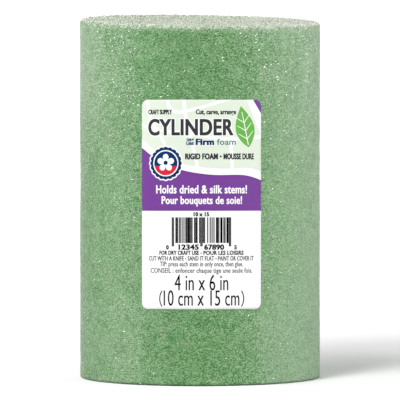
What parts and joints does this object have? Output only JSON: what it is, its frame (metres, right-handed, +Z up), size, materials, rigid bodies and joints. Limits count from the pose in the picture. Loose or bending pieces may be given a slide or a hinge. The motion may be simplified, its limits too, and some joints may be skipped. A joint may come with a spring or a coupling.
{
  "type": "floral foam cylinder",
  "caption": "Upright cylinder of rigid green styrene foam for holding dried or silk flower stems, with a wrapped paper label on its front.",
  "frame": {"origin": "centre of the flat base, on the surface that the cylinder stands on", "axes": "+Z up along the cylinder's axis, -Y out through the middle of the label, +X to the right as the label is read"},
  "size_m": [0.101, 0.1012, 0.1514],
  "materials": {
    "foam": "matte",
    "adhesive": "gloss",
    "label": "satin"
  },
  "bodies": {
    "root": {"foam_cylinder": "foam", "label_adhesive": "adhesive", "label_paper": "label"}
  },
  "joints": []
}
